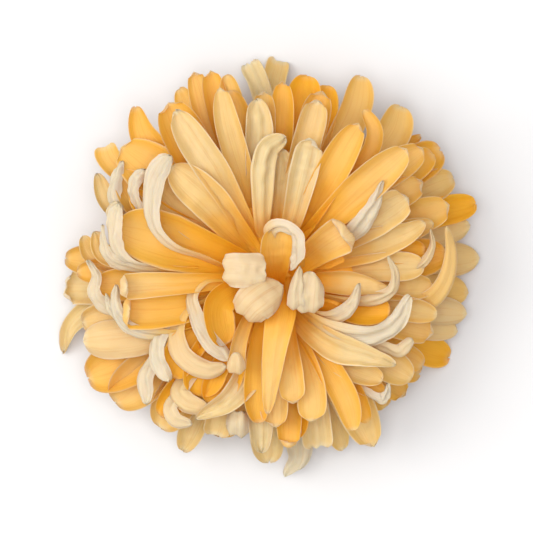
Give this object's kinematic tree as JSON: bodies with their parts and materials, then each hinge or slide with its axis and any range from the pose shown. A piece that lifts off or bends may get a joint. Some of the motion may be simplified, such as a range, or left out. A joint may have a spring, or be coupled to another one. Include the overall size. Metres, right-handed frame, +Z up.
{
  "type": "chrysanthemum bloom",
  "caption": "Single cut chrysanthemum bloom with loose layers of long incurving ray petals over a green cup of bracts, lying face up on its lowest petals.",
  "frame": {"origin": "on the surface the bloom lies on, below the middle of its bounding box", "axes": "+Z up through the open face of the bloom, +Y towards the top edge of the picture, +X to its right"},
  "size_m": [0.132, 0.132, 0.0504],
  "materials": {
    "petal": "soft satin petal, amber inner face fading to apricot tips, cream reverse",
    "bract": "matte green leaf with pale margins",
    "stem": "matte green stem with a pale cut end"
  },
  "bodies": {
    "root": {"bloom": "petal", "involucre": "bract", "stem": "stem"}
  },
  "joints": []
}
